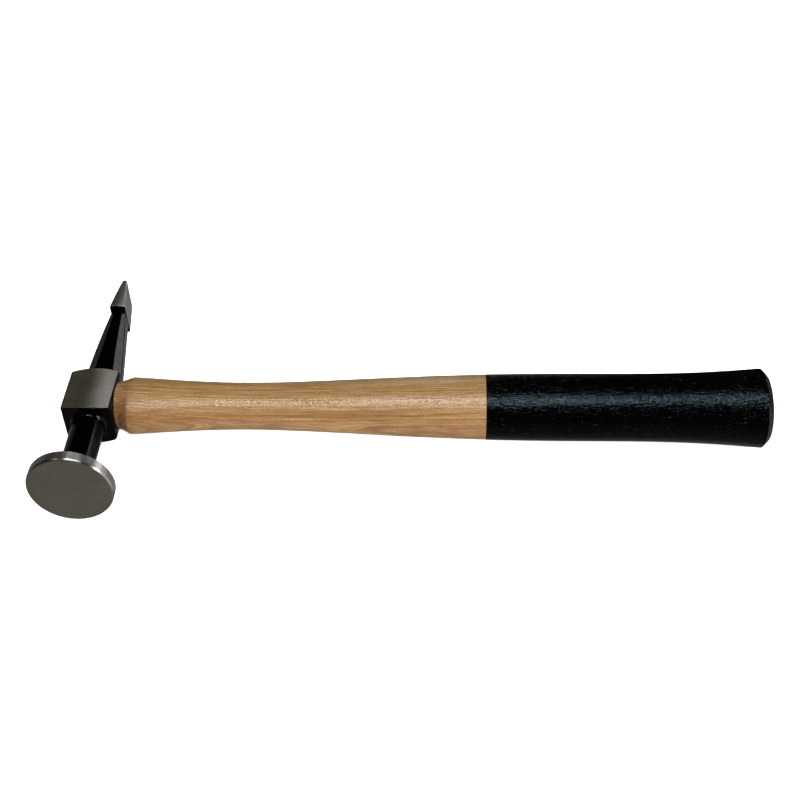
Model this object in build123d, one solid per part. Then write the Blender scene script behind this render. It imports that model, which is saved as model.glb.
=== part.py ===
from build123d import *
import os

# A panel-beating hammer: forged steel head with a round flat face and a cross peen, on an oval
# wooden handle that is wedged into the head's eye.
#
# Millimetres. The origin is the centre of the round striking face. +Y runs along the head to the
# peen, +X runs along the handle to the butt, and +Z comes out of the upper cheek of the head.

# Round striking face and its neck
FACE_DIAMETER = 40.8
FACE_RIM = 5.6
FACE_FRONT_RADIUS = 1.2
FACE_BACK_RADIUS = 0.4
FACE_BACK_SLOPE = 1.6
NECK_DIAMETER = 16.0
NECK_FACE_FILLET = 4.0
NECK_BLOCK_FILLET = 2.6

# Block around the eye: its four long sides are crowned
EYE_Y = 57.5
BLOCK_X = -0.2
BLOCK_WIDTH = 24.4
BLOCK_HANDLE_SIDE_X = BLOCK_X + BLOCK_WIDTH / 2
BLOCK_LENGTH = 26.0
BLOCK_HEIGHT = 21.0
BLOCK_CROWN = 1.35
BLOCK_SIDE_RADIUS = 1.8
BLOCK_EDGE_RADIUS = 0.5

# Oval eye through the block, along the handle
EYE_LONG = 18.0
EYE_SHORT = 13.0
EYE_MOUTH_CHAMFER = 0.8

# Arm from the block to the peen: a chamfered bar, flared on the handle's side.
# Each station: y, reach to -X, reach to +X, left chamfer, right chamfer, half height
ARM_STATIONS = [
    (EYE_Y + 10.0, 7.8, 11.3, 4.3, 4.1, 5.9),
    (EYE_Y + 44.0, 6.8, 6.9, 4.2, 3.3, 5.7),
    (EYE_Y + 67.2, 4.2, 3.6, 1.9, 1.7, 5.6),
]
ARM_CHAMFER_RISE = 0.75
ARM_EDGE_RADIUS = 0.6

# Cross peen: its edge runs along Z
PEEN_X = -0.25
PEEN_ROOT_Y = EYE_Y + 67.2
PEEN_LENGTH = 22.7
PEEN_ROOT_THICKNESS = 8.4
PEEN_EDGE_THICKNESS = 2.3
PEEN_HEIGHT = 18.2
PEEN_BELLY = 0.4
PEEN_CROWN = 0.4
PEEN_EDGE_RADIUS = 0.85
PEEN_STEP_RADIUS = 0.3

# Handle: a collar against the block, a bevel up to the shoulder, the shaft and a bevelled butt.
# Each section: x, width along Y, height along Z
COLLAR_START = (BLOCK_HANDLE_SIDE_X, 23.2, 23.5)
COLLAR_END = (14.1, 24.0, 24.0)
SHAFT_SECTIONS = [
    (19.1, 31.7, 25.0),
    (40.0, 28.6, 23.0),
    (75.0, 25.5, 21.3),
    (115.0, 27.6, 23.6),
    (155.0, 31.5, 27.4),
    (195.0, 34.0, 30.2),
    (235.0, 34.7, 31.3),
    (275.0, 34.8, 31.8),
    (312.0, 37.8, 35.0),
    (326.3, 40.1, 37.3),
]
BUTT_END = (329.0, 34.8, 31.0)
COLLAR_EDGE_RADIUS = 0.8
SHOULDER_RADIUS = 0.9
BUTT_EDGE_RADIUS = 0.6

# Tenon and wedges, seen on the end of the eye away from the handle
TENON_END_X = -12.9
TENON_EDGE_CHAMFER = 0.3
WOOD_WEDGE_DEPTH = 19.0
WOOD_WEDGE_THICK_END = 3.6
WOOD_WEDGE_THIN_END = 1.0
STEEL_WEDGE_COUNT = 2
STEEL_WEDGE_SPACING = 8.0
STEEL_WEDGE_DEPTH = 11.0
STEEL_WEDGE_WIDTH = 8.5
STEEL_WEDGE_THICK_END = 2.2
STEEL_WEDGE_THIN_END = 0.6
STEEL_WEDGE_PROUD = 0.3

RIM_TOLERANCE = 0.05

LOOKING_ALONG_Y = Plane(origin=(0, 0, 0), x_dir=(1, 0, 0), z_dir=(0, -1, 0))
EYE_SECTION = Plane(origin=(0, EYE_Y, 0), x_dir=(0, 1, 0), z_dir=(1, 0, 0))


def striking_end():
    """Round face and neck, turned about the head's axis, ending inside the block."""
    face_radius = FACE_DIAMETER / 2
    neck_radius = NECK_DIAMETER / 2
    outline = Polyline(
        (0, 0),
        (face_radius, 0),
        (face_radius, FACE_RIM),
        (neck_radius, FACE_RIM + FACE_BACK_SLOPE),
        (neck_radius, EYE_Y),
        (0, EYE_Y),
        close=True,
    )
    profile = make_face(outline)
    rounded_corners = [
        ((face_radius, 0), FACE_FRONT_RADIUS),
        ((face_radius, FACE_RIM), FACE_BACK_RADIUS),
        ((neck_radius, FACE_RIM + FACE_BACK_SLOPE), NECK_FACE_FILLET),
    ]
    for corner, radius in rounded_corners:
        profile = fillet(profile.vertices().sort_by_distance(corner)[0], radius)
    return revolve(profile, Axis.Y)


def crowned_outline(width, length):
    """Rectangle whose two long sides, across its width, bulge by the block's crown."""
    half_width = width / 2
    half_length = length / 2
    far = ThreePointArc(
        (-half_width, half_length), (0, half_length + BLOCK_CROWN), (half_width, half_length)
    )
    near = ThreePointArc(
        (half_width, -half_length), (0, -half_length - BLOCK_CROWN), (-half_width, -half_length)
    )
    right = Line(far @ 1, near @ 0)
    left = Line(near @ 1, far @ 0)
    return make_face([far, right, near, left])


def eye_block():
    """Block around the eye, crowned on the four sides that run along the handle."""
    plan = Pos(BLOCK_X, EYE_Y) * crowned_outline(BLOCK_WIDTH, BLOCK_LENGTH)
    side = LOOKING_ALONG_Y * (Pos(BLOCK_X, 0) * crowned_outline(BLOCK_WIDTH, BLOCK_HEIGHT))
    block = extrude(plan, BLOCK_HEIGHT, both=True)
    block &= extrude(side, -2 * EYE_Y)
    handle_side = block.faces().sort_by(Axis.X)[-1]
    block = fillet(handle_side.edges(), BLOCK_SIDE_RADIUS)
    free_side = block.faces().sort_by(Axis.X)[0]
    return fillet(free_side.edges(), BLOCK_EDGE_RADIUS)


def arm_section(y, left, right, left_chamfer, right_chamfer, half_height):
    """Eight-sided section of the arm, across the head's axis."""
    corners = [
        (right, half_height - right_chamfer * ARM_CHAMFER_RISE),
        (right - right_chamfer, half_height),
        (left_chamfer - left, half_height),
        (-left, half_height - left_chamfer * ARM_CHAMFER_RISE),
    ]
    mirrored = [(x, -z) for x, z in reversed(corners)]
    section = make_face(Polyline(*corners, *mirrored, close=True))
    return Pos(0, y, 0) * (LOOKING_ALONG_Y * section)


def arm():
    """Tapered bar from inside the block to the back of the peen, with its long edges rounded."""
    bar = loft([arm_section(*station) for station in ARM_STATIONS])
    ends = bar.faces().group_by(Axis.Y)
    long_edges = bar.edges() - ends[0].edges() - ends[-1].edges()
    return fillet(long_edges, ARM_EDGE_RADIUS)


def peen_barrel():
    """Large drum about X, crowned across it: its outside is the top of the peen."""
    top = PEEN_HEIGHT / 2 + PEEN_BELLY
    radius = (PEEN_LENGTH**2 / 4 + PEEN_BELLY**2) / (2 * PEEN_BELLY)
    half_width = PEEN_ROOT_THICKNESS / 2
    crown = ThreePointArc((-half_width, top - PEEN_CROWN), (0, top), (half_width, top - PEEN_CROWN))
    left = Line((-half_width, top - radius), crown @ 0)
    right = Line(crown @ 1, (half_width, top - radius))
    profile = make_face([left, crown, right, Line(right @ 1, left @ 0)])
    drum = revolve(Plane.XZ * profile, Axis((0, 0, top - radius), (1, 0, 0)))
    return Pos(0, PEEN_LENGTH / 2, 0) * drum


def peen():
    """Wedge with a rounded edge along Z, taller than the arm behind it, with a crowned top."""
    half_root = PEEN_ROOT_THICKNESS / 2
    half_edge = PEEN_EDGE_THICKNESS / 2
    plan = Polyline(
        (-half_edge, PEEN_LENGTH),
        (-half_root, 0),
        (half_root, 0),
        (half_edge, PEEN_LENGTH),
        close=True,
    )
    wedge = extrude(make_face(plan), PEEN_HEIGHT, both=True)
    wedge &= peen_barrel()
    wedge &= mirror(peen_barrel(), about=Plane.XY)
    worked_edges = wedge.edges().filter_by_position(Axis.Y, PEEN_LENGTH / 4, PEEN_LENGTH)
    wedge = fillet(worked_edges, PEEN_EDGE_RADIUS)
    wedge = fillet(wedge.faces().sort_by(Axis.Y)[0].edges(), PEEN_STEP_RADIUS)
    return Pos(PEEN_X, PEEN_ROOT_Y, 0) * wedge


def eye_hole():
    """Straight oval hole for the tenon."""
    return extrude(EYE_SECTION * Ellipse(EYE_LONG / 2, EYE_SHORT / 2), BLOCK_WIDTH, both=True)


def head():
    """Whole forging: face, neck, eye block, arm and peen in one piece, with the eye cut."""
    body = eye_block() + striking_end()
    neck_joint = body.edges().filter_by(GeomType.BSPLINE)
    body = fillet(neck_joint, NECK_BLOCK_FILLET)
    body += arm()
    body -= eye_hole()
    eye_mouth = body.faces().filter_by(Axis.X).sort_by(Axis.X)[0].inner_wires()[0]
    body = chamfer(eye_mouth.edges(), EYE_MOUTH_CHAMFER)
    return body + peen()


def oval(x, width, height):
    """Oval section of the handle at a distance x from the eye's centre."""
    return Pos(x, 0, 0) * (EYE_SECTION * Ellipse(width / 2, height / 2))


def rim_at(body, x):
    """Edges of a solid that lie flat at one distance along the handle."""
    edges = body.edges().filter_by_position(Axis.X, x - RIM_TOLERANCE, x + RIM_TOLERANCE)
    return edges.filter_by(lambda edge: edge.bounding_box().size.X < RIM_TOLERANCE)


def handle_blank():
    """Handle before the wedges go in: tenon, collar, bevel, shaft and butt."""
    tenon_length = BLOCK_HANDLE_SIDE_X - TENON_END_X
    tenon = Pos(TENON_END_X, 0, 0) * extrude(
        EYE_SECTION * Ellipse(EYE_LONG / 2, EYE_SHORT / 2), tenon_length
    )
    tenon = chamfer(tenon.faces().sort_by(Axis.X)[0].edges(), TENON_EDGE_CHAMFER)
    collar = loft([oval(*COLLAR_START), oval(*COLLAR_END), oval(*SHAFT_SECTIONS[0])], ruled=True)
    shaft = loft([oval(*section) for section in SHAFT_SECTIONS])
    butt = loft([oval(*SHAFT_SECTIONS[-1]), oval(*BUTT_END)], ruled=True)
    body = collar + shaft + butt
    rounded_edges = [
        (COLLAR_START, COLLAR_EDGE_RADIUS),
        (SHAFT_SECTIONS[0], SHOULDER_RADIUS),
        (SHAFT_SECTIONS[-1], BUTT_EDGE_RADIUS),
        (BUTT_END, BUTT_EDGE_RADIUS),
    ]
    for section, radius in rounded_edges:
        body = fillet(rim_at(body, section[0]), radius)
    return tenon + body


def driven_wedge(start_x, depth, thick_end, thin_end):
    """Outline of a wedge in X and its own thickness, thick end at start_x, pointing to +X."""
    return make_face(
        Polyline(
            (start_x, thick_end / 2),
            (start_x + depth, thin_end / 2),
            (start_x + depth, -thin_end / 2),
            (start_x, -thick_end / 2),
            close=True,
        )
    )


def wood_wedge_blank():
    """Wooden wedge that splits the tenon along the eye's long axis."""
    outline = driven_wedge(
        TENON_END_X, WOOD_WEDGE_DEPTH, WOOD_WEDGE_THICK_END, WOOD_WEDGE_THIN_END
    )
    slab = extrude(Pos(0, EYE_Y, 0) * (Plane.XZ * outline), EYE_LONG, both=True)
    return slab & eye_hole()


def steel_wedge(index):
    """One steel wedge, driven across the wooden one."""
    offset = (index - (STEEL_WEDGE_COUNT - 1) / 2) * STEEL_WEDGE_SPACING
    outline = driven_wedge(
        TENON_END_X - STEEL_WEDGE_PROUD,
        STEEL_WEDGE_DEPTH,
        STEEL_WEDGE_THICK_END,
        STEEL_WEDGE_THIN_END,
    )
    return extrude(Pos(0, EYE_Y + offset, 0) * outline, STEEL_WEDGE_WIDTH / 2, both=True)


def build():
    """All pieces, by the name of their node."""
    steel_wedges = [steel_wedge(index) for index in range(STEEL_WEDGE_COUNT)]
    pieces = {
        "head": head(),
        "handle": handle_blank() - wood_wedge_blank() - steel_wedges,
        "wood_wedge": wood_wedge_blank() - steel_wedges,
    }
    for number, wedge in enumerate(steel_wedges, start=1):
        pieces[f"steel_wedge_{number}"] = wedge
    return pieces


os.makedirs("parts", exist_ok=True)
for name, piece in build().items():
    export_step(piece, f"parts/{name}.step")
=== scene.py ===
import math

import bpy
from mathutils import Matrix, Vector
from mathutils.bvhtree import BVHTree


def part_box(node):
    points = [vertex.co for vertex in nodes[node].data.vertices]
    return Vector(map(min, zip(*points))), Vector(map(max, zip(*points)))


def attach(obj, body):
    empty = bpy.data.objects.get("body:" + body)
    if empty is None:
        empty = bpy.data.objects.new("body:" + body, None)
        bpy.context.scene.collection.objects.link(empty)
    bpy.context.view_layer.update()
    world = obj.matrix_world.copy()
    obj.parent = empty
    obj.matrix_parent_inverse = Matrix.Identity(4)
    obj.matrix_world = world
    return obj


# Panel-beating hammer around its CAD frame. Metres; the origin is the centre of the striking face,
# +Y runs along the head to the peen, +X along the handle to the butt, +Z out of the upper cheek.
# The materials work in millimetres, because the grain and the grinding marks are that small.

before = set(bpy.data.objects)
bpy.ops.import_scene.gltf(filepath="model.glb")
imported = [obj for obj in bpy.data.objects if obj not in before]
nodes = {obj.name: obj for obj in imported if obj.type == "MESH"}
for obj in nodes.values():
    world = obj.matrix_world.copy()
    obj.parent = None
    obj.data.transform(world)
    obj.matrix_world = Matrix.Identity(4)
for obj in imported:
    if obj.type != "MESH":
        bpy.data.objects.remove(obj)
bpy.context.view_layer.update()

MM = 0.001

# The handle's axis and end come from the frame, in millimetres
handle_low, handle_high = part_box("handle")
HANDLE_AXIS_Y = round((handle_low[1] + handle_high[1]) / 2 / MM, 1)
BUTT_END_X = round(handle_high[0] / MM, 1)

# Where the finishes change, in millimetres: start of the grip's lacquer, end of the disc's bare
# rim, lower limit of the cheeks, both ends of the block along Y, and start of the bare peen
GRIP_START_X = 193.1
FACE_STEEL_END_Y = 5.3
CHEEK_LOWEST_Z = 9.4
BLOCK_START_Y = 43.0
BLOCK_END_Y = 72.0
PEEN_START_Y = 124.78

# Camera of the photograph: place in metres, angles in degrees
CAMERA_PLACE = (0.17197, -0.3944, 0.42488)
CAMERA_AZIMUTH = 2.619
CAMERA_ELEVATION = 42.907
CAMERA_ROLL = -1.565
CAMERA_LENS = 56.86
SENSOR_WIDTH = 36.0


# ---------------------------------------------------------------- node helpers


def new_material(name):
    """Empty node material: the material and its tree."""
    material = bpy.data.materials.new(name)
    material.use_nodes = True
    material.node_tree.nodes.clear()
    return material, material.node_tree


def add(tree, kind, inputs=None, **settings):
    """One node with its settings, and with its inputs linked or set."""
    node = tree.nodes.new(kind)
    for key, value in settings.items():
        setattr(node, key, value)
    for key, value in (inputs or {}).items():
        if isinstance(value, bpy.types.NodeSocket):
            tree.links.new(value, node.inputs[key])
        else:
            node.inputs[key].default_value = value
    return node


def calc(tree, operation, *values, clamp=False):
    """Math node on numbers or sockets: its result."""
    inputs = dict(enumerate(values))
    node = add(tree, "ShaderNodeMath", inputs, operation=operation, use_clamp=clamp)
    return node.outputs[0]


def ramp_between(tree, value, low, high, at_low=0.0, at_high=1.0):
    """Smooth step of a value from one level to another."""
    inputs = {0: value, 1: low, 2: high, 3: at_low, 4: at_high}
    node = add(tree, "ShaderNodeMapRange", inputs, interpolation_type="SMOOTHSTEP")
    return node.outputs[0]


def combine(tree, x, y, z):
    """Vector from three numbers or sockets."""
    return add(tree, "ShaderNodeCombineXYZ", {0: x, 1: y, 2: z}).outputs[0]


def stretch(tree, vector, scales):
    """Vector with each axis scaled on its own."""
    inputs = {0: vector, 1: scales}
    return add(tree, "ShaderNodeVectorMath", inputs, operation="MULTIPLY").outputs[0]


def noise(tree, vector, detail=2.0, roughness=0.5, scale=1.0):
    """Noise value, about 0.5 on average."""
    inputs = {"Vector": vector, "Scale": scale, "Detail": detail, "Roughness": roughness}
    return add(tree, "ShaderNodeTexNoise", inputs, noise_dimensions="3D").outputs[0]


def stretched_noise(tree, place, waves, detail=2.0, roughness=0.5):
    """Noise with its own number of waves per millimetre along X, Y and Z."""
    return noise(tree, stretch(tree, place, waves), detail, roughness)


def mix_colours(tree, factor, first, second, blend="MIX"):
    """Colour between two colours, each a socket or an (r, g, b, 1)."""
    inputs = {0: factor, 6: first, 7: second}
    node = add(tree, "ShaderNodeMix", inputs, data_type="RGBA", blend_type=blend)
    return node.outputs[2]


def mix_values(tree, factor, first, second):
    """Number between two numbers."""
    inputs = {0: factor, 2: first, 3: second}
    return add(tree, "ShaderNodeMix", inputs, data_type="FLOAT").outputs[0]


def colour_ramp(tree, value, stops):
    """Colour ramp of (position, (r, g, b)) stops."""
    node = add(tree, "ShaderNodeValToRGB", {0: value})
    elements = node.color_ramp.elements
    while len(elements) < len(stops):
        elements.new(0.5)
    for element, (position, colour) in zip(elements, stops):
        element.position = position
        element.color = (*colour, 1.0)
    return node.outputs[0]


def millimetres(tree):
    """Place on the object in millimetres: the vector and its three numbers."""
    coordinates = add(tree, "ShaderNodeTexCoord").outputs["Object"]
    place = stretch(tree, coordinates, (1000.0, 1000.0, 1000.0))
    parts = add(tree, "ShaderNodeSeparateXYZ", {0: place}).outputs
    return place, parts[0], parts[1], parts[2]


def normal_parts(tree):
    """The surface's direction as three numbers."""
    normal = add(tree, "ShaderNodeNewGeometry").outputs["Normal"]
    return add(tree, "ShaderNodeSeparateXYZ", {0: normal}).outputs


def bump(tree, height, distance_mm, strength):
    """Bump from a height of 0 to 1, as deep as distance_mm."""
    inputs = {"Strength": strength, "Distance": distance_mm * MM, "Height": height}
    return add(tree, "ShaderNodeBump", inputs).outputs[0]


def surface(tree, shader_inputs):
    """Principled shader with these inputs, joined to the material's output."""
    shader = add(tree, "ShaderNodeBsdfPrincipled", shader_inputs)
    add(tree, "ShaderNodeOutputMaterial", {"Surface": shader.outputs[0]})


# ---------------------------------------------------------------- wood

# Growth rings. A level counts millimetres across the rings, towards -Y. Past LAST_RING_LEVEL the
# rings are OUTER_RING_WIDTH wide. Before it they start INNER_RING_WIDTH wide, and they get narrower
# towards the middle of the tree.
LAST_RING_LEVEL = 14.6
INNER_RING_WIDTH = 1.9
OUTER_RING_WIDTH = 3.0
RING_NARROWING = 1.1

# The rings' slope along X and along Z, their radius, and how far they wander, slowly and in
# ripples, with the waves per millimetre of each
RING_SLANT = 0.017
RING_TILT = 0.2
RING_RADIUS = 70.0
RING_DRIFT = 1.8
RING_DRIFT_WAVES = (0.012, 0.05, 0.05)
RING_RIPPLE = 0.6
RING_RIPPLE_WAVES = (0.07, 0.3, 0.3)

# Fine structure: waves per millimetre along X, Y and Z, detail and roughness of each noise
GRAIN_NOISES = {
    "fibres": ((0.055, 1.0, 1.0), 3.0, 0.7),
    "pores": ((0.30, 1.7, 1.7), 2.0, 0.65),
    "flecks": ((0.85, 1.5, 1.5), 2.0, 0.7),
    "ridges": ((0.10, 1.15, 1.15), 1.0, 0.5),
    "speckle": ((0.70, 1.9, 1.9), 1.0, 0.5),
}

# Streaks follow the rings: waves per millimetre along the handle and across the rings, and which
# slice of the noise they are taken from
STREAK_WAVES_ALONG = 0.012
STREAK_WAVES_ACROSS = 1.05
STREAK_SLICE = 5.0

# Darkest and lightest tone from each ring and each noise, reached at the ends of the noise's usual
# range. Dark lines are redder than light ones, so red follows the tone less than green does, and
# blue follows it more.
NOISE_RANGE = (0.36, 0.64)
RING_TONES = (0.93, 1.06)
GRAIN_TONES = {"streaks": (0.75, 1.20), "fibres": (0.80, 1.17), "flecks": (0.88, 1.10)}
RED_POWER = 0.7
BLUE_POWER = 1.7

# Tint of the side towards -Y, partly the wood's own pinker tone and partly painted warm light
# bounced up onto that side, and the millimetres from the axis over which it grows; tint of the
# dark streaks, and the streak levels over which that grows
NEAR_SIDE_TONE_AND_BOUNCE = (1.12, 0.98, 1.14, 1.0)
NEAR_SIDE_BOUNCE_FADE = (-8.0, 15.0)
RED_STREAK = (1.0, 0.86, 0.72, 1.0)
RED_STREAK_LEVELS = (0.50, 0.38)

# Colours over one growth ring, from its inner boundary to its outer one
HICKORY_STOPS = [
    (0.0, (0.168, 0.075, 0.020)),
    (0.04, (0.182, 0.088, 0.024)),
    (0.12, (0.206, 0.118, 0.035)),
    (0.62, (0.210, 0.124, 0.034)),
    (0.80, (0.242, 0.157, 0.038)),
    (0.97, (0.238, 0.151, 0.036)),
    (1.0, (0.180, 0.088, 0.024)),
]
WEDGE_STOPS = [
    (0.0, (0.30, 0.15, 0.06)),
    (0.12, (0.40, 0.22, 0.09)),
    (0.35, (0.56, 0.36, 0.17)),
    (1.0, (0.47, 0.28, 0.12)),
]

# Pores and ray flecks: their colours, the noise levels between which they show up, and how much
# they then cover. Pores thin out from one phase of a ring to another, down to LATE_PORE_DEPTH.
PORE_COLOUR = (0.135, 0.058, 0.016, 1.0)
PORE_LEVELS = (0.57, 0.66)
PORE_COVER = 0.55
PORES_THIN_OUT = (0.03, 0.5)
LATE_PORE_DEPTH = 0.45
RAY_COLOUR = (0.22, 0.085, 0.034, 1.0)
RAY_LEVELS = (0.60, 0.70)
RAY_COVER = 0.38

# Painted shade on the collar next to the head, mottled by noise, which fades out between these two
# places along X; dirt on the wedge
COLLAR_PAINTED_SHADE = (0.60, 0.52, 0.46, 1.0)
COLLAR_SHADE_FADE_X = (17.0, 24.0)
WEDGE_DIRT = (0.5, 0.42, 0.34, 1.0)

# Depth in millimetres of the relief of the wood, the varnish over it, and the wooden wedge
WOOD_RELIEF = 0.10
VARNISH_RELIEF = 0.115
WEDGE_RELIEF = 0.15


def ring_count(tree, level):
    """Growth rings counted from LAST_RING_LEVEL, negative towards the middle of the tree."""
    inside = calc(tree, "MAXIMUM", calc(tree, "SUBTRACT", LAST_RING_LEVEL, level), 0.0)
    inside = calc(tree, "POWER", calc(tree, "DIVIDE", inside, INNER_RING_WIDTH), RING_NARROWING)
    outside = calc(tree, "MAXIMUM", calc(tree, "SUBTRACT", level, LAST_RING_LEVEL), 0.0)
    outside = calc(tree, "DIVIDE", outside, OUTER_RING_WIDTH)
    return calc(tree, "SUBTRACT", outside, inside)


def ring_level(tree, place, x, across, z):
    """Millimetres across the growth rings, which are bent, slanted and a little wavy."""
    depth = calc(tree, "SUBTRACT", across, calc(tree, "MULTIPLY", z, RING_TILT))
    depth = calc(tree, "SUBTRACT", depth, calc(tree, "MULTIPLY", x, RING_SLANT))
    side = calc(tree, "ADD", z, calc(tree, "MULTIPLY", across, RING_TILT))
    bulge = calc(tree, "DIVIDE", calc(tree, "MULTIPLY", side, side), 2 * RING_RADIUS)
    slow = stretched_noise(tree, place, RING_DRIFT_WAVES, detail=1.0)
    drift = calc(tree, "MULTIPLY", calc(tree, "SUBTRACT", slow, 0.5), RING_DRIFT)
    quick = stretched_noise(tree, place, RING_RIPPLE_WAVES, detail=2.0)
    ripple = calc(tree, "MULTIPLY", calc(tree, "SUBTRACT", quick, 0.5), RING_RIPPLE)
    return calc(tree, "ADD", calc(tree, "ADD", depth, bulge), calc(tree, "ADD", drift, ripple))


def wood_grain(tree):
    """Solid wood with its fibres along X: growth rings, streaks, and the noises of GRAIN_NOISES."""
    place, x, y, z = millimetres(tree)
    across = calc(tree, "SUBTRACT", HANDLE_AXIS_Y, y)
    level = ring_level(tree, place, x, across, z)
    count = ring_count(tree, level)
    ring = {"W": calc(tree, "FLOOR", count)}
    streak_x = calc(tree, "MULTIPLY", x, STREAK_WAVES_ALONG)
    streak_y = calc(tree, "MULTIPLY", level, STREAK_WAVES_ACROSS)
    streak_place = combine(tree, streak_x, streak_y, STREAK_SLICE)
    grain = {
        "place": place,
        "x": x,
        "across": across,
        "phase": calc(tree, "FRACT", count),
        "ring_tone": add(tree, "ShaderNodeTexWhiteNoise", ring, noise_dimensions="1D").outputs[0],
        "streaks": noise(tree, streak_place, detail=3.0, roughness=0.75),
    }
    for name, (waves, detail, roughness) in GRAIN_NOISES.items():
        grain[name] = stretched_noise(tree, place, waves, detail, roughness)
    return grain


def wood_colour(tree, grain, stops):
    """Colour of the wood, with painted warm bounce light on its side towards -Y, and a mask of its
    pores.
    """
    base = colour_ramp(tree, grain["phase"], stops)
    tone = mix_values(tree, grain["ring_tone"], *RING_TONES)
    for name, (low, high) in GRAIN_TONES.items():
        tone = calc(tree, "MULTIPLY", tone, ramp_between(tree, grain[name], *NOISE_RANGE, low, high))
    red = calc(tree, "POWER", tone, RED_POWER)
    blue = calc(tree, "POWER", tone, BLUE_POWER)
    base = mix_colours(tree, 1.0, base, combine(tree, red, tone, blue), "MULTIPLY")
    # Side towards -Y: the wood's own pinker tone mixed with painted warm bounce light
    painted_bounce = ramp_between(tree, grain["across"], *NEAR_SIDE_BOUNCE_FADE)
    base = mix_colours(tree, painted_bounce, base, NEAR_SIDE_TONE_AND_BOUNCE, "MULTIPLY")
    red_streak = ramp_between(tree, grain["streaks"], *RED_STREAK_LEVELS, 0.0, 0.5)
    base = mix_colours(tree, red_streak, base, RED_STREAK, "MULTIPLY")
    early = ramp_between(tree, grain["phase"], *PORES_THIN_OUT, 1.0, LATE_PORE_DEPTH)
    pore = calc(tree, "MULTIPLY", ramp_between(tree, grain["pores"], *PORE_LEVELS), early)
    base = mix_colours(tree, calc(tree, "MULTIPLY", pore, PORE_COVER), base, PORE_COLOUR)
    ray = ramp_between(tree, grain["flecks"], *RAY_LEVELS, 0.0, RAY_COVER)
    base = mix_colours(tree, ray, base, RAY_COLOUR)
    return base, pore


def varnished_hickory():
    """Light hickory under a thin satin varnish, with painted shade on the collar next to the head.
    """
    material, tree = new_material("varnished_hickory")
    grain = wood_grain(tree)
    colour, pore = wood_colour(tree, grain, HICKORY_STOPS)
    # Painted shade on the collar next to the head, mottled by noise, fading out along X
    shade_mottle = stretched_noise(tree, grain["place"], (0.16, 0.22, 0.22), detail=3.0)
    near_head = ramp_between(tree, grain["x"], *COLLAR_SHADE_FADE_X, 1.0, 0.0)
    painted_shade = calc(tree, "MULTIPLY", near_head, ramp_between(tree, shade_mottle, 0.30, 0.75, 0.35, 0.95))
    colour = mix_colours(tree, painted_shade, colour, COLLAR_PAINTED_SHADE, "MULTIPLY")
    relief = calc(tree, "ADD", grain["ridges"], calc(tree, "MULTIPLY", grain["speckle"], 1.3))
    wood_normal = bump(tree, calc(tree, "SUBTRACT", relief, pore), WOOD_RELIEF, 0.8)
    varnish_normal = bump(tree, relief, VARNISH_RELIEF, 0.9)
    roughness = ramp_between(tree, grain["fibres"], 0.2, 0.8, 0.42, 0.62)
    surface(
        tree,
        {
            "Base Color": colour,
            "Roughness": roughness,
            "Specular IOR Level": 0.4,
            "Coat Weight": 0.9,
            "Coat Roughness": 0.19,
            "Coat IOR": 1.42,
            "Normal": wood_normal,
            "Coat Normal": varnish_normal,
        },
    )
    return material


def wedge_hardwood():
    """Bare hardwood of the wedge, with crushed end grain."""
    material, tree = new_material("wedge_hardwood")
    grain = wood_grain(tree)
    colour, pore = wood_colour(tree, grain, WEDGE_STOPS)
    dirt = stretched_noise(tree, grain["place"], (0.5, 0.5, 0.5), detail=4.0)
    dirt = ramp_between(tree, dirt, 0.35, 0.75, 0.1, 0.6)
    colour = mix_colours(tree, dirt, colour, WEDGE_DIRT, "MULTIPLY")
    relief = calc(tree, "SUBTRACT", grain["fibres"], pore)
    surface(
        tree,
        {
            "Base Color": colour,
            "Roughness": ramp_between(tree, grain["fibres"], 0.2, 0.8, 0.6, 0.85),
            "Specular IOR Level": 0.3,
            "Normal": bump(tree, relief, WEDGE_RELIEF, 0.9),
        },
    )
    return material


# ---------------------------------------------------------------- grip lacquer

# Colours of the lacquer and of a worn fibre, and the depth of the lacquer's relief in millimetres
LACQUER_BLACK = (0.0003, 0.00033, 0.0004, 1.0)
BARE_FLECK = (0.055, 0.055, 0.050, 1.0)
LACQUER_RELIEF = 0.145


def grip_lacquer():
    """Black lacquer dipped over the wood: the grain shows through it, a few fibres worn bare."""
    material, tree = new_material("grip_lacquer")
    grain = wood_grain(tree)
    fleck = stretched_noise(tree, grain["place"], (0.28, 3.0, 3.0), detail=2.0, roughness=0.6)
    patch = stretched_noise(tree, grain["place"], (0.05, 0.2, 0.2), detail=1.0)
    bare = calc(
        tree,
        "MULTIPLY",
        ramp_between(tree, fleck, 0.66, 0.74),
        ramp_between(tree, patch, 0.42, 0.62, 0.15, 1.0),
    )
    colour = mix_colours(tree, calc(tree, "MULTIPLY", bare, 0.8), LACQUER_BLACK, BARE_FLECK)
    open_pore = ramp_between(tree, grain["pores"], 0.56, 0.68)
    lines = stretched_noise(tree, grain["place"], (0.15, 1.35, 1.35), detail=1.0)
    relief = calc(tree, "ADD", lines, calc(tree, "MULTIPLY", grain["speckle"], 0.9))
    relief = calc(tree, "SUBTRACT", relief, calc(tree, "MULTIPLY", open_pore, 0.3))
    surface(
        tree,
        {
            "Base Color": colour,
            "Roughness": ramp_between(tree, grain["fibres"], 0.3, 0.7, 0.10, 0.18),
            "Specular IOR Level": 0.17,
            "Specular Tint": (0.80, 0.92, 1.0, 1.0),
            "Normal": bump(tree, relief, LACQUER_RELIEF, 0.9),
        },
    )
    return material


# ---------------------------------------------------------------- steel

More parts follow.
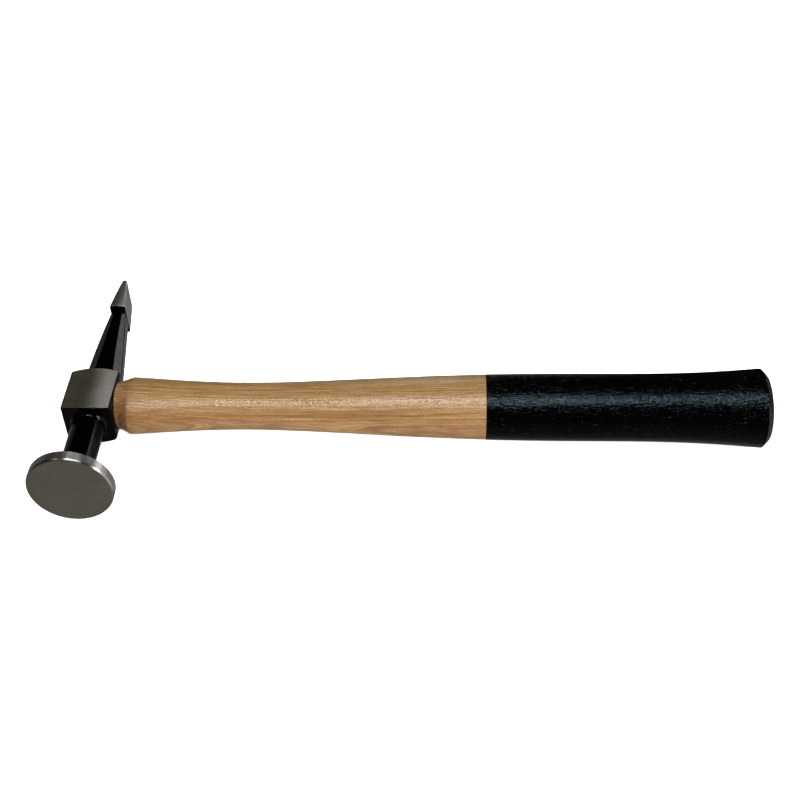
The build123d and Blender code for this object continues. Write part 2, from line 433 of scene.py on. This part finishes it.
# Colours, and the waves per millimetre of the rust's edges
BARE_STEEL = (0.58, 0.555, 0.51, 1.0)
ENAMEL_BLACK = (0.0002, 0.0002, 0.0003, 1.0)
ENAMEL_DUST = (0.006, 0.006, 0.006, 1.0)
CLEAN_WEDGE = (0.42, 0.41, 0.39, 1.0)
RUST = (0.16, 0.065, 0.025, 1.0)
RUST_WAVES = 0.9

# Depth in millimetres of the enamel's orange peel, the grinding marks and the wedges' hammer marks
ENAMEL_RELIEF = 0.035
GRINDING_RELIEF = 0.012
HAMMERED_RELIEF = 0.06


def both(tree, first, second):
    """1 where both masks are 1."""
    return calc(tree, "MULTIPLY", first, second)


def bare_steel_masks(tree, x, y, z, normal):
    """1 on the disc, on surfaces across Y, and on all bare steel: disc, both cheeks, peen."""
    edge_place = combine(tree, calc(tree, "MULTIPLY", x, 0.6), 0.0, calc(tree, "MULTIPLY", z, 0.6))
    edge_wander = calc(tree, "MULTIPLY", noise(tree, edge_place, detail=2.0), 0.16)
    disc_y = calc(tree, "ADD", y, edge_wander)
    disc = ramp_between(tree, disc_y, FACE_STEEL_END_Y, FACE_STEEL_END_Y + 0.1, 1.0, 0.0)
    upright = calc(tree, "ABSOLUTE", normal[2])
    cheek = ramp_between(tree, upright, 0.90, 0.95)
    height = calc(tree, "ABSOLUTE", z)
    cheek = both(tree, cheek, ramp_between(tree, height, CHEEK_LOWEST_Z, CHEEK_LOWEST_Z + 0.08))
    cheek = both(tree, cheek, calc(tree, "GREATER_THAN", y, BLOCK_START_Y))
    cheek = both(tree, cheek, calc(tree, "LESS_THAN", y, BLOCK_END_Y))
    peen = ramp_between(tree, y, PEEN_START_Y, PEEN_START_Y + 0.12)
    peen = both(tree, peen, ramp_between(tree, normal[1], -0.80, -0.62))
    return {
        "disc": disc,
        "flat_front": ramp_between(tree, calc(tree, "ABSOLUTE", normal[1]), 0.80, 0.95),
        "all": calc(tree, "ADD", disc, calc(tree, "ADD", cheek, peen), clamp=True),
    }


def grinding_marks(tree, place, masks):
    """Fine marks: straight across the face, round the rim, crosswise on cheeks and peen."""
    face = stretched_noise(tree, place, (0.10, 0.5, 5.5), detail=4.0, roughness=0.7)
    rim = stretched_noise(tree, place, (0.12, 9.0, 0.12), detail=4.0, roughness=0.75)
    cross = stretched_noise(tree, place, (0.14, 5.0, 0.4), detail=4.0, roughness=0.7)
    disc = mix_values(tree, masks["flat_front"], rim, face)
    return mix_values(tree, masks["disc"], cross, disc)


def forged_head():
    """Black gloss enamel, with ground bare steel on the worked areas."""
    material, tree = new_material("black_enamelled_steel")
    place, x, y, z = millimetres(tree)
    normal = normal_parts(tree)
    masks = bare_steel_masks(tree, x, y, z, normal)
    bare = masks["all"]
    marks = grinding_marks(tree, place, masks)
    cloud = stretched_noise(tree, place, (0.09, 0.09, 0.09), detail=3.0)
    tone = calc(
        tree,
        "MULTIPLY",
        ramp_between(tree, marks, 0.25, 0.75, 0.79, 1.17),
        ramp_between(tree, cloud, 0.3, 0.7, 0.95, 1.04),
    )
    steel = mix_colours(tree, 1.0, BARE_STEEL, combine(tree, tone, tone, tone), "MULTIPLY")
    speck = stretched_noise(tree, place, (2.4, 2.4, 2.4), detail=1.0)
    dust = ramp_between(tree, speck, 0.76, 0.82, 0.0, 0.5)
    enamel = mix_colours(tree, dust, ENAMEL_BLACK, ENAMEL_DUST)
    steel_roughness = ramp_between(tree, marks, 0.3, 0.7, 0.28, 0.36)
    # The marks spread each highlight across themselves: along Z on the disc's face, else along Y
    along_y = calc(tree, "SUBTRACT", 1.0, masks["flat_front"])
    across_marks = combine(tree, 0.0, along_y, masks["flat_front"])
    smear = stretched_noise(tree, place, (0.12, 0.12, 0.12), detail=3.0, roughness=0.6)
    enamel_roughness = ramp_between(tree, smear, 0.3, 0.75, 0.07, 0.16)
    peel = stretched_noise(tree, place, (0.55, 0.55, 0.55), detail=2.0, roughness=0.5)
    enamel_normal = bump(tree, peel, ENAMEL_RELIEF, 0.35)
    steel_normal = bump(tree, marks, GRINDING_RELIEF, 0.8)
    mixed_normal = add(
        tree,
        "ShaderNodeMix",
        {0: bare, 4: enamel_normal, 5: steel_normal},
        data_type="VECTOR",
    ).outputs[1]
    surface(
        tree,
        {
            "Base Color": mix_colours(tree, bare, enamel, steel),
            "Metallic": bare,
            "Roughness": mix_values(tree, bare, enamel_roughness, steel_roughness),
            "Specular IOR Level": 0.16,
            "Anisotropic": 0.9,
            "Tangent": across_marks,
            "Normal": mixed_normal,
        },
    )
    return material


def wedge_steel():
    """Mild steel wedge end, hammered in, with a little rust."""
    material, tree = new_material("wedge_steel")
    place = millimetres(tree)[0]
    marks = stretched_noise(tree, place, (1.0, 3.5, 1.2), detail=3.0, roughness=0.6)
    rust = ramp_between(tree, noise(tree, place, 4.0, 0.65, RUST_WAVES), 0.52, 0.68)
    colour = mix_colours(tree, rust, CLEAN_WEDGE, RUST)
    clean_roughness = ramp_between(tree, marks, 0.3, 0.7, 0.35, 0.55)
    surface(
        tree,
        {
            "Base Color": colour,
            "Metallic": calc(tree, "SUBTRACT", 1.0, calc(tree, "MULTIPLY", rust, 0.8)),
            "Roughness": mix_values(tree, rust, clean_roughness, 0.85),
            "Normal": bump(tree, marks, HAMMERED_RELIEF, 0.8),
        },
    )
    return material


# ---------------------------------------------------------------- grip coat

# In millimetres: the coat's thickness, the step between its rings along the grip and over the
# butt's bevel, the place where the bevel's finer rings start, and that of the last one
COAT_THICKNESS = 0.10
RING_STEP = 1.0
END_STEP = 0.12
END_DETAIL_X = BUTT_END_X - 3.6
LAST_RING_X = BUTT_END_X - 0.02

# Points in a ring, the smaller rings that close the butt as shares of its outline, how often the
# CAD facets are averaged out along the grip and over the bevel, and the angle of a sharp edge
RING_POINTS = 144
END_RING_SHARES = (0.995, 0.97, 0.9, 0.75, 0.5, 0.25)
GRIP_PASSES = 6
BEVEL_PASSES = 1
CREASE_ANGLE = 35


def half_extent(tree, x, direction):
    """Half the handle's size along a direction, in millimetres, at a place along its axis."""
    centre = Vector((x, HANDLE_AXIS_Y, 0.0)) * MM
    ahead = tree.ray_cast(centre, direction)[0]
    behind = tree.ray_cast(centre, -direction)[0]
    return (ahead - behind).length / MM / 2


def smooth_list(values, passes):
    """Values with the facets of the CAD mesh averaged out, ends kept."""
    for _ in range(passes):
        inner = [
            (before + 2 * here + after) / 4
            for before, here, after in zip(values, values[1:], values[2:])
        ]
        values = [values[0], *inner, values[-1]]
    return values


def grip_stations(handle):
    """(x, half width, half height) of the lacquer's outside, in millimetres."""
    tree = BVHTree.FromPolygons(
        [v.co for v in handle.data.vertices], [p.vertices for p in handle.data.polygons]
    )
    long_run = []
    x = GRIP_START_X
    while x < END_DETAIL_X:
        long_run.append(x)
        x += RING_STEP
    fine_length = LAST_RING_X - END_DETAIL_X
    fine_count = int(fine_length / END_STEP)
    fine_run = [END_DETAIL_X + i * fine_length / fine_count for i in range(fine_count + 1)]
    stations = []
    for run, passes in ((long_run, GRIP_PASSES), (fine_run, BEVEL_PASSES)):
        widths = [half_extent(tree, x, Vector((0, 1, 0))) for x in run]
        heights = [half_extent(tree, x, Vector((0, 0, 1))) for x in run]
        stations += list(zip(run, smooth_list(widths, passes), smooth_list(heights, passes)))
    return [(x, w + COAT_THICKNESS, h + COAT_THICKNESS) for x, w, h in stations]


def closed_oval_body(name, stations):
    """Closed mesh through oval rings, with a flat cap at each end."""
    rings = list(stations)
    width_end, height_end = rings[-1][1:]
    for share in END_RING_SHARES:
        rings.append((BUTT_END_X + COAT_THICKNESS, width_end * share, height_end * share))
    points = [(stations[0][0], 0.0, 0.0)]
    for x, width, height in rings:
        for i in range(RING_POINTS):
            angle = 2 * math.pi * i / RING_POINTS
            points.append((x, width * math.cos(angle), height * math.sin(angle)))
    points.append((BUTT_END_X + COAT_THICKNESS, 0.0, 0.0))
    vertices = [(x * MM, (y + HANDLE_AXIS_Y) * MM, z * MM) for x, y, z in points]
    faces = []
    last = len(vertices) - 1
    final_ring = 1 + (len(rings) - 1) * RING_POINTS
    for i in range(RING_POINTS):
        j = (i + 1) % RING_POINTS
        faces.append((0, 1 + j, 1 + i))
        faces.append((last, final_ring + i, final_ring + j))
        for r in range(len(rings) - 1):
            here = 1 + r * RING_POINTS
            there = here + RING_POINTS
            faces.append((here + i, here + j, there + j, there + i))
    mesh = bpy.data.meshes.new(name)
    mesh.from_pydata(vertices, [], faces)
    mesh.validate()
    piece = bpy.data.objects.new(name, mesh)
    bpy.context.scene.collection.objects.link(piece)
    for polygon in mesh.polygons:
        polygon.use_smooth = True
    mesh.set_sharp_from_angle(angle=math.radians(CREASE_ANGLE))
    return piece


def grip_coat(handle):
    """The lacquer film over the grip and the butt."""
    return closed_oval_body("grip_lacquer", grip_stations(handle))


# ---------------------------------------------------------------- stage and lights

# Floor and room, in metres, and the points of the floor's outline; then the floor's colour, its
# own glow, which keeps it white and nearly shadowless, and the fibres of its paper per metre
FLOOR_RADIUS = 9.0
FLOOR_POINTS = 96
DOME_RADIUS = 5.0
PAPER_WHITE = (0.93, 0.93, 0.93, 1.0)
PAPER_GLOW = 0.8
PAPER_FIBRE_SCALE = 900.0

# Which points may touch the floor, in millimetres: the disc's lie below the first place, the peen's
# and the butt's past the other two. The floor is then tilted until one of each group touches it.
DISC_ZONE_Y = 10.0
PEEN_ZONE_Y = 120.0
BUTT_ZONE_X = 300.0
SETTLING_STEPS = 20

WORLD_STRENGTH = 1.15

# The room that the gloss reflects, by direction: dim above the horizon, and below it a front half
# and a back half, with the fades between them as the direction's Z and Y
ROOM_ABOVE = (0.018, 0.015, 0.008, 1.0)
ROOM_FRONT = (0.150, 0.144, 0.128, 1.0)
ROOM_BACK = (0.250, 0.248, 0.255, 1.0)
HORIZON = (-0.30, -0.06)
FRONT_TO_BACK = (-0.2, 0.4)

# Patches of that room: a colour, and its edges as (axis, start and end of the fade, whether the
# patch begins there rather than ends there)
X, Y, Z = range(3)
ROOM_PATCHES = {
    "grey screen behind on the left": (
        (0.150, 0.152, 0.146, 1.0),
        [
            (Z, 0.27, 0.33, False),
            (Z, -0.30, -0.10, True),
            (X, -0.50, -0.35, False),
            (Y, 0.35, 0.50, True),
        ],
    ),
    "bright wall on the right": (
        (0.62, 0.66, 0.72, 1.0),
        [
            (X, 0.55, 0.70, True),
            (Y, 0.10, 0.35, False),
            (Z, -0.75, -0.55, True),
            (Z, 0.25, 0.40, False),
        ],
    ),
    "black flag behind the handle": (
        (0.012, 0.012, 0.012, 1.0),
        [
            (X, 0.12, 0.20, True),
            (X, 0.52, 0.59, False),
            (Y, 0.50, 0.60, True),
            (Z, -0.62, -0.54, True),
        ],
    ),
}


def lowest_along(points, up):
    """The point that is lowest along a direction."""
    return min(points, key=lambda p: p.dot(up))


def floor_plane(nodes):
    """The plane that the hammer lies on: disc rim, peen and butt each touch it."""
    head = [v.co.copy() for v in nodes["head"].data.vertices]
    handle = [v.co.copy() for v in nodes["handle"].data.vertices]
    disc = [p for p in head if p.y < DISC_ZONE_Y * MM]
    peen = [p for p in head if p.y > PEEN_ZONE_Y * MM]
    butt = [p for p in handle if p.x > BUTT_ZONE_X * MM]
    up = Vector((0, 0, 1))
    for _ in range(SETTLING_STEPS):
        a, b, c = (lowest_along(group, up) for group in (disc, peen, butt))
        up = (b - a).cross(c - a).normalized()
        if up.z < 0:
            up = -up
    return a, up


def pale_floor(point, up):
    """Large round floor in that plane, a coat's thickness under the contact."""
    along = up.orthogonal().normalized()
    across = up.cross(along)
    centre = point - up * (COAT_THICKNESS * MM)
    vertices = [centre]
    for i in range(FLOOR_POINTS):
        angle = 2 * math.pi * i / FLOOR_POINTS
        offset = along * math.cos(angle) + across * math.sin(angle)
        vertices.append(centre + offset * FLOOR_RADIUS)
    faces = [(0, 1 + i, 1 + (i + 1) % FLOOR_POINTS) for i in range(FLOOR_POINTS)]
    mesh = bpy.data.meshes.new("floor")
    mesh.from_pydata([tuple(v) for v in vertices], [], faces)
    floor = bpy.data.objects.new("floor", mesh)
    bpy.context.scene.collection.objects.link(floor)
    material, tree = new_material("floor_paper")
    coordinates = add(tree, "ShaderNodeTexCoord").outputs["Object"]
    fibre = noise(tree, coordinates, detail=3.0, scale=PAPER_FIBRE_SCALE)
    surface(
        tree,
        {
            "Base Color": PAPER_WHITE,
            "Roughness": 0.9,
            "Specular IOR Level": 0.1,
            "Emission Color": (1.0, 1.0, 1.0, 1.0),
            "Emission Strength": PAPER_GLOW,
            "Normal": bump(tree, fibre, 0.02, 0.3),
        },
    )
    mesh.materials.append(material)
    floor.visible_glossy = False


def patch_mask(tree, parts, edges):
    """1 inside a patch of the room, fading to 0 over its edges."""
    mask = 1.0
    for axis, start, end, begins in edges:
        levels = (0.0, 1.0) if begins else (1.0, 0.0)
        mask = calc(tree, "MULTIPLY", mask, ramp_between(tree, parts[axis], start, end, *levels))
    return mask


def glow_dome():
    """What the gloss reflects besides the lamps: a dim room, brighter below the horizon."""
    bpy.ops.mesh.primitive_uv_sphere_add(radius=DOME_RADIUS, segments=64, ring_count=32)
    dome = bpy.context.object
    dome.name = "studio_room"
    material, tree = new_material("studio_room")
    coordinates = add(tree, "ShaderNodeTexCoord").outputs["Object"]
    direction = add(
        tree, "ShaderNodeVectorMath", {0: coordinates}, operation="NORMALIZE"
    ).outputs[0]
    parts = add(tree, "ShaderNodeSeparateXYZ", {0: direction}).outputs
    below = ramp_between(tree, parts[Z], *HORIZON, 1.0, 0.0)
    behind = ramp_between(tree, parts[Y], *FRONT_TO_BACK)
    colour = mix_colours(tree, below, ROOM_ABOVE, mix_colours(tree, behind, ROOM_FRONT, ROOM_BACK))
    for patch_colour, edges in ROOM_PATCHES.values():
        colour = mix_colours(tree, patch_mask(tree, parts, edges), colour, patch_colour)
    emission = add(tree, "ShaderNodeEmission", {"Color": colour, "Strength": 1.0})
    add(tree, "ShaderNodeOutputMaterial", {"Surface": emission.outputs[0]})
    dome.data.materials.append(material)
    dome.visible_camera = False
    dome.visible_diffuse = False
    dome.visible_transmission = False
    dome.visible_volume_scatter = False
    dome.visible_shadow = False


# What the lamps look at, in metres
MIDDLE = (0.15, 0.057, 0.0)
HEAD_MIDDLE = (0.0, 0.04, 0.0)
ARM_MIDDLE = (0.006, 0.095, 0.01)

# Each lamp: the direction it stands in, its distance and size in metres, and its radiance. The
# large key light only lights the matt surfaces, and the others are only seen in the gloss.
LAMPS = [
    {
        "name": "soft_key",
        "direction": (0.42, -0.40, 0.81),
        "distance": 2.0,
        "size": (1.4, 1.4),
        "radiance": 6.4,
        "colour": (1.0, 0.97, 0.93),
        "target": MIDDLE,
        "seen_in": "diffuse",
    },
    {
        "name": "overhead_box",
        "direction": (-0.02, -0.23, 1.0),
        "distance": 1.05,
        "size": (0.18, 0.26),
        "radiance": 19.0,
        "colour": (1.0, 0.99, 0.97),
        "target": HEAD_MIDDLE,
        "seen_in": "gloss",
    },
    {
        "name": "handle_box",
        "direction": (0.13, -0.25, 1.0),
        "distance": 1.05,
        "size": (0.40, 0.18),
        "radiance": 14.5,
        "colour": (0.82, 0.94, 1.0),
        "target": MIDDLE,
        "seen_in": "gloss",
    },
    {
        "name": "arm_screen",
        "direction": (0.46, 0.82, 0.34),
        "distance": 0.3,
        "size": (0.085, 0.05),
        "radiance": 3.4,
        "colour": (0.90, 0.95, 1.0),
        "target": ARM_MIDDLE,
        "seen_in": "gloss",
    },
    {
        "name": "left_overhead_box",
        "direction": (-0.50, -0.24, 0.85),
        "distance": 1.2,
        "size": (0.22, 0.16),
        "radiance": 5.0,
        "colour": (1.0, 0.97, 0.92),
        "target": HEAD_MIDDLE,
        "seen_in": "gloss",
    },
    {
        "name": "right_window",
        "direction": (0.90, -0.33, 0.32),
        "distance": 1.8,
        "size": (1.3, 0.42),
        "radiance": 13.0,
        "colour": (0.84, 0.92, 1.0),
        "target": HEAD_MIDDLE,
        "seen_in": "gloss",
    },
    {
        "name": "right_back_screen",
        "direction": (0.74, 0.67, 0.20),
        "distance": 2.5,
        "size": (0.55, 0.80),
        "radiance": 2.2,
        "colour": (0.78, 0.88, 1.0),
        "target": HEAD_MIDDLE,
        "seen_in": "gloss",
    },
]


def softbox(name, direction, distance, size, radiance, colour, target, seen_in):
    """Rectangular lamp that looks at a target from a direction; its size is across and up."""
    light = bpy.data.lights.new(name, "AREA")
    light.shape = "RECTANGLE"
    light.size = size[0]
    light.size_y = size[1]
    light.energy = radiance * math.pi * size[0] * size[1]
    light.color = colour
    lamp = bpy.data.objects.new(name, light)
    towards = Vector(direction).normalized()
    lamp.location = Vector(target) + towards * distance
    lamp.rotation_mode = "QUATERNION"
    lamp.rotation_quaternion = towards.to_track_quat("Z", "Y")
    lamp.visible_camera = False
    lamp.visible_diffuse = seen_in == "diffuse"
    lamp.visible_glossy = seen_in == "gloss"
    bpy.context.scene.collection.objects.link(lamp)


def lights():
    """Soft, nearly shadowless studio light."""
    world = bpy.data.worlds.new("studio")
    world.use_nodes = True
    background = world.node_tree.nodes["Background"]
    background.inputs["Color"].default_value = (1.0, 1.0, 1.0, 1.0)
    background.inputs["Strength"].default_value = WORLD_STRENGTH
    world.cycles_visibility.glossy = False
    bpy.context.scene.world = world
    for lamp in LAMPS:
        softbox(**lamp)


def photo_camera():
    """Camera at the photograph's place and angle."""
    azimuth = math.radians(CAMERA_AZIMUTH)
    elevation = math.radians(CAMERA_ELEVATION)
    roll = math.radians(CAMERA_ROLL)
    back = Vector(
        (
            math.sin(azimuth) * math.cos(elevation),
            -math.cos(azimuth) * math.cos(elevation),
            math.sin(elevation),
        )
    )
    level_right = (-back).cross(Vector((0, 0, 1))).normalized()
    level_up = level_right.cross(-back)
    right = level_right * math.cos(roll) + level_up * math.sin(roll)
    up = level_up * math.cos(roll) - level_right * math.sin(roll)
    data = bpy.data.cameras.new("photo_camera")
    data.sensor_width = SENSOR_WIDTH
    data.lens = CAMERA_LENS
    data.clip_start = 0.01
    data.clip_end = 100.0
    camera = bpy.data.objects.new("photo_camera", data)
    bpy.context.scene.collection.objects.link(camera)
    place = Vector(CAMERA_PLACE)
    rows = [[right[i], up[i], back[i], place[i]] for i in range(3)]
    rows.append([0, 0, 0, 1])
    camera.matrix_world = Matrix(rows)
    bpy.context.scene.camera = camera


def dress(node, material):
    """Gives a CAD node its material."""
    node.data.materials.clear()
    node.data.materials.append(material)


photo_camera()
dress(nodes["head"], forged_head())
dress(nodes["handle"], varnished_hickory())
dress(nodes["wood_wedge"], wedge_hardwood())
steel = wedge_steel()
dress(nodes["steel_wedge_1"], steel)
dress(nodes["steel_wedge_2"], steel)

grip = grip_coat(nodes["handle"])
grip.data.materials.append(grip_lacquer())
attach(grip, "root")

contact, floor_up = floor_plane(nodes)
pale_floor(contact, floor_up)
glow_dome()
lights()
bpy.context.scene.view_settings.view_transform = "Standard"
